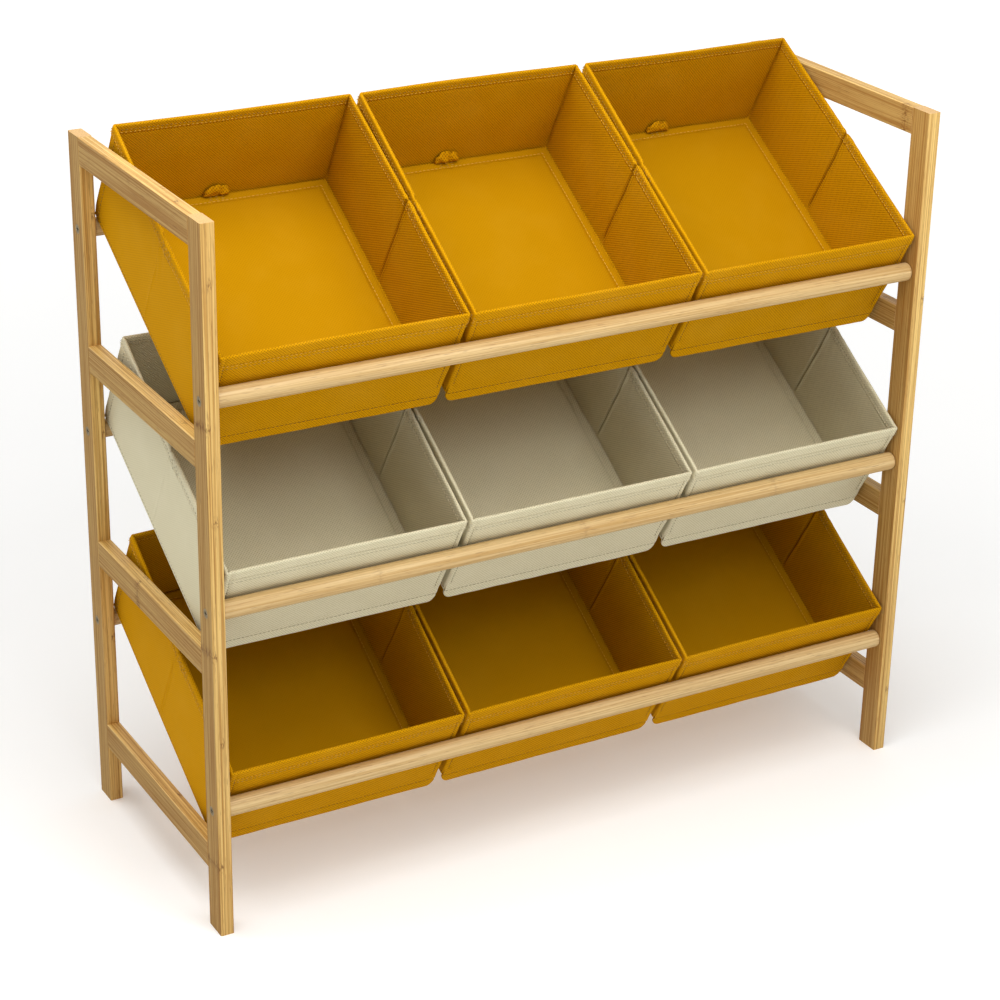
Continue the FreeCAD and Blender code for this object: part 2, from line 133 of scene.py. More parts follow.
# Laminated bamboo: strips split from the stalk, glued side by side, planed and lacquered. It shows as
# straight honey-coloured strips with long fine fibres and now and then the dark speckled band of a joint.
def laminatedBamboo(name, grainOrder, stripWide, cellWide, cellShift, jointShare, light, dark):
    look, strength = bambooLook, bambooLook["strength"]
    material, tree = newMaterial(name)
    coords = addNode(tree, "TexCoord").outputs["Object"]
    axes = addNode(tree, "SeparateXYZ", {0: coords})
    grain, across, other = (axes.outputs[axis] for axis in grainOrder)
    stripPlace = addNode(tree, "Math", {0: across, 1: 1 / (stripWide * mm)}, operation="MULTIPLY")
    strip = addNode(tree, "Math", {0: stripPlace}, operation="FLOOR")
    cellPlace = addNode(tree, "Math", {0: other, 1: 1 / (cellWide * mm), 2: cellShift},
                        operation="MULTIPLY_ADD")
    cell = addNode(tree, "Math", {0: cellPlace}, operation="FLOOR")
    stripSeed = addNode(tree, "CombineXYZ", {0: strip, 1: cell})
    chance = addNode(tree, "TexWhiteNoise", {"Vector": stripSeed}, noise_dimensions="3D").outputs["Color"]
    chances = addNode(tree, "SeparateColor", {0: chance})
    figure = {}
    for mark, (detail, low, high) in bambooMarks.items():
        scales = [1 / (look[mark] * mm)] * 3
        scales["XYZ".index(grainOrder[0])] = 1 / (look[f"{mark}Run"] * mm)
        stretched = addNode(tree, "VectorMath", {0: coords, 1: scales}, operation="MULTIPLY")
        shifted = addNode(tree, "VectorMath", {0: chance, 1: [look["stripShift"]] * 3, 2: stretched},
                          operation="MULTIPLY_ADD")
        noise = addNode(tree, "TexNoise", {"Vector": shifted, "Scale": 1, "Detail": detail})
        figure[mark] = addNode(tree, "MapRange", {"Value": noise, "From Min": low, "From Max": high})
    broad = addNode(tree, "Math", {0: figure["streak"], 1: look["tone"]["streak"]}, operation="MULTIPLY")
    both = addNode(tree, "Math", {0: figure["fibre"], 1: look["tone"]["fibre"], 2: broad},
                   operation="MULTIPLY_ADD")
    tone = addNode(tree, "Math", {0: chances.outputs[0], 1: look["tone"]["strip"], 2: both},
                   operation="MULTIPLY_ADD")
    pores = addNode(tree, "Math", {0: figure["fleck"], 1: strength["fleck"]}, operation="MULTIPLY")
    # how far a place is from the middle between two joints, or of its strip
    jointPlace = addNode(tree, "Math", {0: grain, 1: 1 / (look["jointEvery"] * mm), 2: chances.outputs[1]},
                         operation="MULTIPLY_ADD")
    offMiddle = []
    for place in (jointPlace, stripPlace):
        part = addNode(tree, "Math", {0: place}, operation="FRACT")
        side = addNode(tree, "Math", {0: part, 1: 0.5}, operation="SUBTRACT")
        offMiddle.append(addNode(tree, "Math", {0: side}, operation="ABSOLUTE"))
    jointFar, stripFar = offMiddle
    # the joints of the stalk: a ragged dark line with dashes on both sides
    toPart = 1 / look["jointEvery"]
    edgeWide, edgeDeep = look["jointEdge"]
    speck = addNode(tree, "TexNoise", {"Vector": coords, "Scale": 1 / (edgeWide * mm), "Detail": 2})
    ragged = addNode(tree, "Math", {0: speck, 1: edgeDeep * toPart, 2: jointFar}, operation="MULTIPLY_ADD")
    start, end = (reach * toPart for reach in look["jointLine"])
    band = addNode(tree, "MapRange", {"Value": ragged, "From Min": start, "From Max": end,
                                      "To Min": strength["joint"], "To Max": 0})
    halo = addNode(tree, "MapRange", {"Value": jointFar, "From Min": toPart,
                                      "From Max": look["jointReach"] * toPart, "To Min": 1, "To Max": 0})
    dashes = addNode(tree, "Math", {0: halo, 1: figure["dash"]}, operation="MULTIPLY")
    jointMark = addNode(tree, "Math", {0: dashes, 1: band}, operation="MAXIMUM")
    jointed = addNode(tree, "Math", {0: chances.outputs[2], 1: look["jointFrom"]}, operation="GREATER_THAN")
    jointStrength = addNode(tree, "Math", {0: jointed, 1: jointShare}, operation="MULTIPLY")
    jointShown = addNode(tree, "Math", {0: jointMark, 1: jointStrength}, operation="MULTIPLY")
    glue = addNode(tree, "MapRange", {"Value": stripFar, "From Min": 0.5 - look["glue"] / stripWide,
                                      "From Max": 0.5, "To Min": 0, "To Max": strength["glue"]})
    # sawn ends show the fibres end on, as fine dots
    facing = addNode(tree, "SeparateXYZ", {0: addNode(tree, "NewGeometry").outputs["Normal"]})
    grainFacing = addNode(tree, "Math", {0: facing.outputs[grainOrder[0]]}, operation="ABSOLUTE")
    endShare = addNode(tree, "MapRange", {"Value": grainFacing, "From Min": 0.8, "From Max": 0.95})
    dots = addNode(tree, "TexVoronoi", {"Vector": coords, "Scale": 1 / (look["fibreEnd"] * mm)})
    dotTone = addNode(tree, "MapRange", {"Value": dots, "From Min": 0.05, "From Max": 0.4,
                                         "To Min": 0.35, "To Max": 1})
    joint = linear(look["joint"])
    endTone = addNode(tree, "Mix", {0: dotTone, 6: joint, 7: linear(look["cutEnd"])}, data_type="RGBA")
    surface = linear(light)
    for share, colour in ((tone, linear(dark)), (pores, joint), (jointShown, joint), (glue, joint),
                          (endShare, endTone.outputs[2])):
        mixed = addNode(tree, "Mix", {0: share, 6: surface, 7: colour}, data_type="RGBA")
        surface = mixed.outputs[2]
    smoothest, roughest = look["roughness"]
    gloss = addNode(tree, "MapRange", {"Value": figure["fibre"], "To Min": smoothest, "To Max": roughest})
    relief = addNode(tree, "Bump", {"Height": both, "Strength": 0.2, "Distance": look["relief"] * mm})
    return finishMaterial(material, {"Base Color": surface, "Roughness": gloss, "Normal": relief,
                                     "Specular IOR Level": 0.36})


clothLook = {
    # pit is painted shade in the weave's hollows, and crease is painted shade along a fold's inner valley
    "mustard": {"crown": "#C68D00", "pitShade": "#7A4D00", "worn": "#CC9A2A", "creaseShadeColour": "#5E3600"},
    "cream": {"crown": "#D3CBAC", "pitShade": "#A89E7C", "worn": "#E2DAC0", "creaseShadeColour": "#6A5F40"},
    # a darker copy of the mustard cloth for the boards: painted shade on their up-facing faces
    "shadedMustardBoard": {"crown": "#B48100", "pitShade": "#7C4F00", "worn": "#C4931F", "creaseShadeColour": "#5E3600"},
    "lattice": 3.4,  # mm between pits in a row, drawn coarser than the real 2.4 so that they show
    "pitShadeSpan": (-0.2, 0.75),  # heights at which a pit's painted shade is darkest and gone
    "yarn": 1.5,  # mm, slubs, drawn twice as coarse as real
    "slub": 1.2,  # their height beside a pit's depth
    "mottle": 45,  # mm, uneven dye and handling
    "rubbed": (0.45, 0.75, 0.14),  # part of the mottle that is worn, and how much paler it gets
    "relief": 0.3,  # mm
}


# Stiffened polyester cloth, pressed with a hot patterned roll: matt, with rows of small pits set corner to
# corner, their hollows darkened with painted shade, and slightly paler where handling has rubbed it. Its
# weaveShow sets how strongly the pits and their painted shade show, and a second attribute paints shade
# along the inner valley of a fold.
def stiffCloth(name, look):
    material, tree = newMaterial(name)
    cloth = addNode(tree, "SeparateXYZ", {0: addNode(tree, "UVMap", uv_map="cloth")})
    turn = 2 * math.pi / (clothLook["lattice"] * mm)  # the map is in metres
    rows = []
    for side in ("X", "Y"):
        angle = addNode(tree, "Math", {0: cloth.outputs[side], 1: turn}, operation="MULTIPLY")
        rows.append(addNode(tree, "Math", {0: angle}, operation="SINE"))
    dots = addNode(tree, "Math", {0: rows[0], 1: rows[1]}, operation="MULTIPLY")
    place = addNode(tree, "TexCoord").outputs["Object"]
    noises = []
    for key, detail in (("yarn", 2), ("mottle", 3)):
        scale = 1 / (clothLook[key] * mm)
        noises.append(addNode(tree, "TexNoise", {"Vector": place, "Scale": scale, "Detail": detail}))
    yarn, mottle = noises
    height = addNode(tree, "Math", {0: yarn, 1: clothLook["slub"], 2: dots}, operation="MULTIPLY_ADD")
    show = addNode(tree, "Attribute", attribute_name="weaveShow").outputs["Fac"]
    # painted shade along a fold's inner valley, carried on each point
    creaseShade = addNode(tree, "Attribute", attribute_name="creaseShade").outputs["Fac"]
    # pits darkened by their depth: painted shade in the weave's hollows
    darkest, gone = clothLook["pitShadeSpan"]
    deep = addNode(tree, "MapRange", {"Value": height, "From Min": darkest, "From Max": gone,
                                      "To Min": 1, "To Max": 0})
    pitShading = addNode(tree, "Math", {0: deep, 1: show}, operation="MULTIPLY")
    low, high, paler = clothLook["rubbed"]
    rubbed = addNode(tree, "MapRange", {"Value": mottle, "From Min": low, "From Max": high,
                                        "To Min": 0, "To Max": paler})
    surface = linear(look["crown"])
    for share, colour in ((pitShading, "pitShade"), (rubbed, "worn"), (creaseShade, "creaseShadeColour")):
        mixed = addNode(tree, "Mix", {0: share, 6: surface, 7: linear(look[colour])}, data_type="RGBA")
        surface = mixed.outputs[2]
    shown = addNode(tree, "Math", {0: height, 1: show}, operation="MULTIPLY")
    relief = addNode(tree, "Bump", {"Height": shown, "Strength": 0.5, "Distance": clothLook["relief"] * mm})
    return finishMaterial(material, {"Base Color": surface, "Normal": relief, "Roughness": 0.9,
                                     "Specular IOR Level": 0.06})


threadLook = {
    # deep is painted shade: the thread as a seam's groove or a hem's edge would shade it
    "mustard": {"light": "#DDAC3A", "dark": "#B8841C", "deep": "#4E2F00"},
    "cream": {"light": "#E6DEC4", "dark": "#B8AC8A", "deep": "#6E6448"},
    "twist": 0.6,  # mm
}


# Spun polyester sewing thread: two plies whose twist shows as fine light and dark turns. Its seamShade
# mixes in
# the deep colour: painted shade for the shadow along a seam's groove or beside a hem's edge.
def sewingThread(name, light, dark, deep):
    material, tree = newMaterial(name)
    place = addNode(tree, "TexCoord").outputs["Object"]
    twist = addNode(tree, "TexNoise", {"Vector": place, "Scale": 1 / (threadLook["twist"] * mm)})
    shade = addNode(tree, "Attribute", attribute_name="seamShade").outputs["Fac"]
    surface = linear(dark)
    for share, colour in ((twist, light), (shade, deep)):
        mixed = addNode(tree, "Mix", {0: share, 6: surface, 7: linear(colour)}, data_type="RGBA")
        surface = mixed.outputs[2]
    return finishMaterial(material, {"Base Color": surface, "Roughness": 0.6, "Specular IOR Level": 0.3})


screwLook = {
    "clean": "#DCCBA8",
    "dull": "#6E5A3C",
    "patch": 1.5,  # mm
    # painted shade down in the cross recess
    "recessShade": "#1C1208",
    "recess": (0.2, 0.9),  # mm below the head's face where the recess's painted shade starts and is full
    "roughness": (0.3, 0.6),
}


# Zinc-plated steel screws: cold-formed heads under a thin clear film, partly matt and unevenly dulled, with
# painted shade darkening the cross recess.
def platedSteel(name):
    look = screwLook
    material, tree = newMaterial(name)
    place = addNode(tree, "TexCoord").outputs["Object"]
    patch = addNode(tree, "TexNoise", {"Vector": place, "Scale": 1 / (look["patch"] * mm), "Detail": 4})
    across = addNode(tree, "SeparateXYZ", {0: place})
    outward = addNode(tree, "Math", {0: across}, operation="ABSOLUTE")
    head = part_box("dowel_screws")[1][0]
    start, full = (head - deep * mm for deep in look["recess"])
    # darker with depth below the head's face: painted shade in the cross recess
    recessShading = addNode(tree, "MapRange", {"Value": outward, "From Min": start, "From Max": full})
    surface = linear(look["dull"])
    for share, colour in ((patch, "clean"), (recessShading, "recessShade")):
        mixed = addNode(tree, "Mix", {0: share, 6: surface, 7: linear(look[colour])}, data_type="RGBA")
        surface = mixed.outputs[2]
    smoothest, roughest = look["roughness"]
    gloss = addNode(tree, "MapRange", {"Value": patch, "To Min": smoothest, "To Max": roughest})
    return finishMaterial(material, {"Base Color": surface, "Roughness": gloss, "Metallic": 0.6})


# Laths are 15 mm thick, three strips of 5 mm; a cell keeps one lath or dowel apart from the next.
lathLook = {"light": bambooLook["light"], "dark": bambooLook["dark"], "stripWide": 5, "jointShare": 0.85}
dowelLook = {"light": "#D8BC88", "dark": "#B99358", "stripWide": 1000, "jointShare": 0.25}  # in one piece
tierPitch = 227  # mm
finishes = {
    "post": laminatedBamboo("bambooUpright", "ZXY", cellWide=200, cellShift=0, **lathLook),
    "rail": laminatedBamboo("bambooRail", "YXZ", cellWide=tierPitch, cellShift=0.25, **lathLook),
    "dowel": laminatedBamboo("bambooDowel", "XYZ", cellWide=tierPitch, cellShift=0.1, **dowelLook),
    "screw": platedSteel("zincPlatedSteel"),
}
for colour in ("mustard", "cream"):
    finishes[colour] = stiffCloth(f"{colour}StiffCloth", clothLook[colour])
    finishes[f"{colour}Thread"] = sewingThread(f"{colour}Thread", **threadLook[colour])
# the boards' darker copy of the mustard cloth is painted shade
finishes["shadedMustardBoard"] = stiffCloth("shadedMustardBoardCloth", clothLook["shadedMustardBoard"])
print("finishes made:", len(finishes))

# The rack keeps its solids and gets its finishes
rackFinish = {"post_": "post", "rail_left": "rail", "rail_right": "rail", "dowel_front": "dowel",
              "dowel_rear": "dowel", "dowel_screws": "screw", "rail_pins": "dowel"}
for nodeName, node in frame["nodes"].items():
    for start, finish in rackFinish.items():
        if nodeName.startswith(start):
            node.data.materials.clear()
            node.data.materials.append(finishes[finish])
print("rack finished")


# Sewn forms: a profile led round a rounded rectangle and closed by two flat fields

cornerSteps = 5  # columns round a corner
tightest = 0.6  # mm, least radius of a corner


def ringColumns(frontRun, sideRun):
    # from places along the front and along a side, from 0 to 1; each column is a place on the rectangle's
    # core and a direction out of it, and the list starts in the middle of the front left corner
    sides = [
        ([(2 * f - 1, 0, 0, -1) for f in frontRun], (1, 0, -90)),
        ([(1, f, 1, 0) for f in sideRun], (1, 1, 0)),
        ([(1 - 2 * f, 1, 0, 1) for f in frontRun], (-1, 1, 90)),
        ([(-1, 1 - f, -1, 0) for f in sideRun], (-1, 0, 180)),
    ]
    ring, marks = [], []
    for run, (cornerX, cornerU, start) in sides:
        marks.append(len(ring))
        ring += run
        for step in range(1, cornerSteps + 1):
            turn = math.radians(start + 90 * step / (cornerSteps + 1))
            ring.append((cornerX, cornerU, math.cos(turn), math.sin(turn)))
    half = cornerSteps // 2 + 1
    return np.array(ring[-half:] + ring[:-half], float), marks


def sweptForm(halfWide, long, cornerRound, rows, ring):
    # x, u and v of every row and column, in mm
    inset, height = np.array(rows, float).T
    bend = np.maximum(cornerRound - inset, tightest)[:, None]
    coreX = halfWide - inset[:, None] - bend
    coreFront = inset[:, None] + bend
    coreLong = long - 2 * coreFront
    x = ring[:, 0] * coreX + ring[:, 2] * bend
    u = coreFront + ring[:, 1] * coreLong + ring[:, 3] * bend
    v = np.repeat(height[:, None], len(ring), axis=1)
    return np.stack([x, u, v], axis=-1)


def numbered(*counts):
    return np.arange(math.prod(counts)).reshape(counts)


def ringClosed(grid):
    return np.concatenate([grid, grid[:, :1]], axis=1)


def runLengths(line):
    # how far along a line each of its points is
    return np.concatenate([[0], np.linalg.norm(np.diff(line, axis=0), axis=1).cumsum()])


def fillField(front, right, rear, left):
    # a grid of points across a closed loop, led by its four sides
    rear, left = rear[::-1], left[::-1]
    wide, deep = runLengths(front), runLengths(left)
    a, b = (wide / wide[-1])[None, :, None], (deep / deep[-1])[:, None, None]
    ruled = (1 - b) * front[None] + b * rear[None] + (1 - a) * left[:, None] + a * right[:, None]
    corner = ((1 - a) * (1 - b) * front[0] + a * (1 - b) * front[-1]
              + (1 - a) * b * rear[0] + a * b * rear[-1])
    return ruled - corner


def fieldIndices(front, right, rear, left, firstInner):
    # vertex numbers of that grid: the loop's own round the edge and new ones inside
    wide, deep = len(front), len(right)
    grid = np.zeros((deep, wide), int)
    grid[0], grid[-1] = front, rear[::-1]
    grid[:, -1], grid[:, 0] = right, left[::-1]
    grid[1:-1, 1:-1] = numbered(deep - 2, wide - 2) + firstInner
    return grid


def gridQuads(grid, flip=False):
    quads = np.stack([grid[:-1, :-1], grid[:-1, 1:], grid[1:, 1:], grid[1:, :-1]], axis=-1).reshape(-1, 4)
    return quads[:, ::-1] if flip else quads


def closeForm(points, marks):
    # a swept form with its two fields: vertices, quads and each corner's cloth map in metres
    rowCount, count = points.shape[:2]
    numbers = numbered(rowCount, count)
    walls = gridQuads(ringClosed(numbers))
    around, rising = ringClosed(points)[rowCount // 3], points[:, count // 8]
    sMap, tMap = np.meshgrid(runLengths(around), runLengths(rising))
    wallMap = np.stack([sMap, tMap], axis=-1).reshape(-1, 2)
    wallCorners = wallMap[gridQuads(numbered(rowCount, count + 1))]
    vertices, quads, corners = [points.reshape(-1, 3)], [walls], [wallCorners]
    sides = [np.arange(start, end + 1) % count for start, end in zip(marks, marks[1:] + [count])]
    first = rowCount * count
    for row, flip in ((0, True), (rowCount - 1, False)):
        field = fillField(*(points[row][side] for side in sides))
        grid = fieldIndices(*(numbers[row][side] for side in sides), first)
        vertices.append(field[1:-1, 1:-1].reshape(-1, 3))
        first += vertices[-1].shape[0]
        quads.append(gridQuads(grid, flip))
        corners.append(field[..., :2].reshape(-1, 2)[gridQuads(numbered(*grid.shape), flip)])
    return np.concatenate(vertices), np.concatenate(quads), np.concatenate(corners) * mm


def evenRun(length, spacing, extra=()):
    # places from 0 to 1 about one spacing apart, with extra places in mm kept exactly
    places = np.linspace(0, length, round(length / spacing) + 1)
    clear = 0.3 * spacing  # an even place gives way to an extra one nearer than this
    kept = [p for p in places if p in (0, length) or all(abs(p - place) > clear for place in extra)]
    return [p / length for p in sorted(kept + list(extra))]


def addObject(name, points, faces, clothMap, shows, material):
    mesh = bpy.data.meshes.new(name)
    mesh.from_pydata(points.tolist(), [], faces)
    mesh.uv_layers.new(name="cloth").uv.foreach_set("vector", np.ravel(clothMap).astype(np.float32))
    for attribute, share in shows.items():
        values = np.broadcast_to(share, len(points)).astype(np.float32)
        mesh.attributes.new(attribute, "FLOAT", "POINT").data.foreach_set("value", values)
    mesh.polygons.foreach_set("use_smooth", [True] * len(mesh.polygons))
    mesh.materials.append(material)
    return addToScene(name, mesh)


def waves(seed, count, shortest, longest):
    # a smooth uneven field over two measures in mm, the same for the same seed
    draw = np.random.default_rng(seed)
    length = draw.uniform(shortest, longest, count)
    heading, phase = draw.uniform(0, 2 * math.pi, (2, count))
    strength = draw.uniform(0.5, 1, count) / count

    def field(a, b):
        total = np.zeros(np.broadcast(a, b).shape)
        for k in range(count):
            reach = a * math.cos(heading[k]) + b * math.sin(heading[k])
            total += strength[k] * np.sin(2 * math.pi * reach / length[k] + phase[k])
        return total
    return field


def bell(away, reach):
    return np.exp(-(away / reach) ** 2)


def smooth(value, low, high):
    share = np.clip((value - low) / (high - low), 0, 1)
    return share * share * (3 - 2 * share)


# Stitches: beads of thread set along seam lines

def stitchTree():
    tree = bpy.data.node_groups.new("stitchRow", "GeometryNodeTree")
    tree.is_modifier = True
    sockets = {"Seam": "Geometry", "Stitch Length": "Float", "Stitch Pitch": "Float",
               "Thread Width": "Float", "Seed": "Int", "Thread": "Material"}
    for name, kind in sockets.items():
        tree.interface.new_socket(name=name, in_out="INPUT", socket_type=f"NodeSocket{kind}")
    tree.interface.new_socket(name="Stitches", in_out="OUTPUT", socket_type="NodeSocketGeometry")
    given = addNode(tree, "NodeGroupInput").outputs
    seam = addNode(tree, "GeometryNodeMeshToCurve", {"Mesh": given["Seam"]})
    spaced = addNode(tree, "GeometryNodeResampleCurve", {"Curve": seam, "Length": given["Stitch Pitch"]},
                     mode="LENGTH")
    faceUp = addNode(tree, "GeometryNodeInputNamedAttribute", {"Name": "clothUp"}, data_type="FLOAT_VECTOR")
    tangent = addNode(tree, "GeometryNodeInputTangent")
    alongSeam = addNode(tree, "FunctionNodeAlignRotationToVector", {"Vector": tangent}, axis="X")
    onCloth = addNode(tree, "FunctionNodeAlignRotationToVector", {"Rotation": alongSeam, "Vector": faceUp},
                      axis="Z", pivot_axis="X")
    bead = addNode(tree, "GeometryNodeMeshUVSphere", {"Segments": 6, "Rings": 4, "Radius": 0.5})
    uneven = addNode(tree, "FunctionNodeRandomValue", {2: 0.85, 3: 1.1, "Seed": given["Seed"]},
                     data_type="FLOAT")
    length = addNode(tree, "Math", {0: given["Stitch Length"], 1: uneven.outputs[1]}, operation="MULTIPLY")
    size = addNode(tree, "CombineXYZ", {0: length, 1: given["Thread Width"], 2: given["Thread Width"]})
    placed = addNode(tree, "GeometryNodeInstanceOnPoints", {"Points": spaced, "Instance": bead,
                                                            "Rotation": onCloth, "Scale": size})
    real = addNode(tree, "GeometryNodeRealizeInstances", {"Geometry": placed})
    soft = addNode(tree, "GeometryNodeSetShadeSmooth", {"Geometry": real})
    dressed = addNode(tree, "GeometryNodeSetMaterial", {"Geometry": soft, "Material": given["Thread"]})
    addNode(tree, "NodeGroupOutput", {0: dressed})
    return tree


stitching = {
    "bin": {"length": 3.6, "pitch": 4.8, "thread": 0.85},  # mm
    "board": {"length": 4.6, "pitch": 5.0, "thread": 1.1},
    "proud": 0.15,  # of the cloth
}
stitchRow = stitchTree()


def sewStitches(name, seams, seed, thread, kind):
    # seams is a list of (points in metres, directions off the cloth, shade from 0 to 1)
    points, edges, faceUps, shades = [], [], [], []
    for line, ups, shade in seams:
        start = len(points)
        points += (line + ups * stitching["proud"] * mm).tolist()
        faceUps += ups.tolist()
        shades += [shade] * len(line)
        edges += [(start + k, start + k + 1) for k in range(len(line) - 1)]
    mesh = bpy.data.meshes.new(name)
    mesh.from_pydata(points, edges, [])
    mesh.attributes.new("clothUp", "FLOAT_VECTOR", "POINT").data.foreach_set("vector", np.ravel(faceUps))
    mesh.attributes.new("seamShade", "FLOAT", "POINT").data.foreach_set("value", shades)
    piece = addToScene(name, mesh)
    modifier = piece.modifiers.new("stitchRow", "NODES")
    modifier.node_group = stitchRow
    look = stitching[kind]
    values = {"Stitch Length": look["length"] * mm, "Stitch Pitch": look["pitch"] * mm,
              "Thread Width": look["thread"] * mm, "Seed": seed, "Thread": thread}
    for socket in stitchRow.interface.items_tree:
        if socket.name in values:
            modifier[socket.identifier] = values[socket.name]
    evaluated = piece.evaluated_get(bpy.context.evaluated_depsgraph_get())
    sewn = bpy.data.meshes.new_from_object(evaluated)
    piece.modifiers.remove(modifier)
    piece.data = sewn
    return piece


# Where the solids stand

def solidSpan(nodeName):
    # a solid's lowest and highest reach across the shelf, and along and up its bin, in metres
    corners = np.array([vertex.co for vertex in frame["nodes"][nodeName].data.vertices])
    reaches = (corners[:, 0], corners @ np.array(binAlong), corners @ np.array(binUp))
    return [(reach.min(), reach.max()) for reach in reaches]


def toShelf(points, place):
    x, u, v = np.moveaxis(points * mm, -1, 0)[..., None]
    return np.array(place) + x * np.array((1, 0, 0)) + u * np.array(binAlong) + v * np.array(binUp)


# Bins

binCloth = {
    "skirt": 10,  # mm of the front wall below the floor
    "wall": 3,
    "hemTall": 12,
    "hemThick": 0.5,
    "hemUnder": 0.35,  # line pressed in below the hem
    "cornerRound": 4,
    "footRound": 3,
    "innerRound": 1.2,
    "spacing": 4,  # of the mesh
    "footHalf": (134.0, 134.2),  # half widths at the foot, front and rear
    "rimHalf": (135.3, 132.8),  # and at the rim
    "frontLean": 2.4,  # rim behind the front dowel's line
    "rearLean": 4.5,
    "leanFrom": 85,  # height at which the front wall meets its dowel
    "bowFrom": 0.72,  # share of the height above which the front wall bows
    "waveFrom": 0.8,  # and above which the rim waves
    "sagBelow": 12,  # height below which the floor sags
    "fold": 1.6,  # side walls standing out at their middle fold
    "valley": (2.3, 1.7, 0.8),  # pressed line of the fold inside: depth, reach and place from the fold
    "ridge": (1.3, 1.5, -2.8),  # raised line in front of it
    "creaseShadeLine": (0.7, 1.1),  # painted shade in the fold's valley: how much darker the cloth is there, and its reach
    "outerRidge": (0.8, 1.1, -0.6, 2.4),  # the same fold outside, with its groove's place behind it
    "betweenBins": 0.55,  # share of it on a wall that another bin presses on
    "foldInHem": (0.3, 14, 5),  # share of the fold's relief lost in the hem, from and to below the rim
    "foldSteps": (-6.4, -4.8, -3.6, -2.8, -2, -1.2, -0.4, 0.4, 1.2, 2, 2.8, 3.8, 5.4),  # mesh across it
    "notch": (1.4, 2.2, 24),  # dip of the rim at the fold: depth, reach, how far down it starts
    "pinch": (0.35, 3, 26, 6),  # rim pressed thinner there: depth, reach, from and to below the rim
    "tack": (-5.5, -10, -14, -18, -22, -26),  # zigzag across the hem in front of the fold, from it
    "wrinkle": {"deep": 0.5, "reach": 26, "below": (75, 12), "along": 0.42, "down": 0.12},  # by the fold
    "overlap": (0.9, 34, 60, 10),  # front half standing proud of the rear half, from and to below the rim
    "bead": 0.7,  # corner seams standing out
    "cornerSeam": 1.3,  # and drawn in on the inner face
    "edgeSeam": 6,  # seam down the front wall, from its edge
    "edgeGroove": (0.9, 0.9),  # depth and reach
    "wallFrom": (4, 14),  # heights where the folds and seams of the walls start and are full
    "seamRise": 5.2,  # stitches above the foot of the side walls
    "seamDeep": 0.7,
    "ripple": 0.9,  # uneven hand of the cloth
    "rippleWaves": (9, 26, 90),  # how many, the shortest and the longest
    "rimWaves": (4, 140, 420),
    "calm": (20, 0.7),  # mm from foot and rim where it is weaker, and by how much at the rim
    "dowelRoom": 0.6,  # front wall drawn in where the dowel passes it
    "dowelSpan": (14, 26, 84, 96),
    "flatWeave": 0.28,  # weave left on the outer side walls and the floor
    "frontWeave": 0.75,
    "innerWeave": 0.78,
}
binMood = {  # least and most by which bins differ from each other, mm
    "fold": (0.7, 1.05),  # share of their fold
    "sideBow": (-0.6, 1.4),
    "frontBow": (-0.6, 1.6),
    "rearBow": (-1.5, 3),
    "sag": (0.3, 1),
    "foldShift": (-3, 3),
}
rimSteps = 8  # rows over the rim


def binFrame(name):
    # the middle of the solid's front and floor in metres, its half width, depth and height in mm
    (left, right), (front, rear), (low, high) = solidSpan(f"bin_{name}")
    floor = low + binCloth["skirt"] * mm
    place = Vector(((left + right) / 2, 0, 0)) + binAlong * front + binUp * floor
    return place, (right - left) / 2 / mm, (rear - front) / mm, (high - floor) / mm


def wallRows(high):
    # (inset, height) of the profile from the underside, over the rim and down to the floor's upper face
    cloth = binCloth
    wall, hem, thick = cloth["wall"], cloth["hemTall"], cloth["hemThick"]
    rimRound = wall / 2 + thick
    hemFoot, seam = high - hem, cloth["seamRise"]
    beside, clear, lip = 1.2, 1.8, 0.5  # mm from a seam or a hem's foot to the rows that shape it
    rows, named = [], {}

    def arc(inset, height, radius, start, end, steps):
        for turn in np.radians(np.linspace(start, end, steps)):
            rows.append((inset - radius * math.cos(turn), height + radius * math.sin(turn)))

    def rise(inset, start, end):
        steps = max(1, round(abs(end - start) / cloth["spacing"]))
        rows.extend((inset, height) for height in np.linspace(start, end, steps + 1))

    arc(cloth["footRound"], cloth["footRound"], cloth["footRound"], -90, 0, 4)
    rows.append((0, seam - beside))
    named["footSeam"] = len(rows)
    rows.append((cloth["seamDeep"], seam))
    rows.append((0, seam + beside))
    rise(0, seam + 3, hemFoot - clear)
    named["outerHem"] = len(rows)
    rows.append((cloth["hemUnder"], hemFoot - lip))
    rows.append((-thick, hemFoot))
    named["outerStitch"] = len(rows)
    rise(-thick, hemFoot + clear, high - rimRound - 1)
    arc(wall / 2, high - rimRound, rimRound, 0, 180, rimSteps)
    named["inside"] = len(rows)
    rise(wall + thick, high - rimRound - 1, hemFoot + clear)
    named["innerStitch"] = len(rows) - 1
    rows.append((wall + thick, hemFoot))
    rows.append((wall - cloth["hemUnder"], hemFoot - lip))
    rise(wall, hemFoot - clear, wall + cloth["innerRound"] + 1)
    arc(wall + cloth["innerRound"], wall + cloth["innerRound"], cloth["innerRound"], 0, -90, 3)
    return rows, named


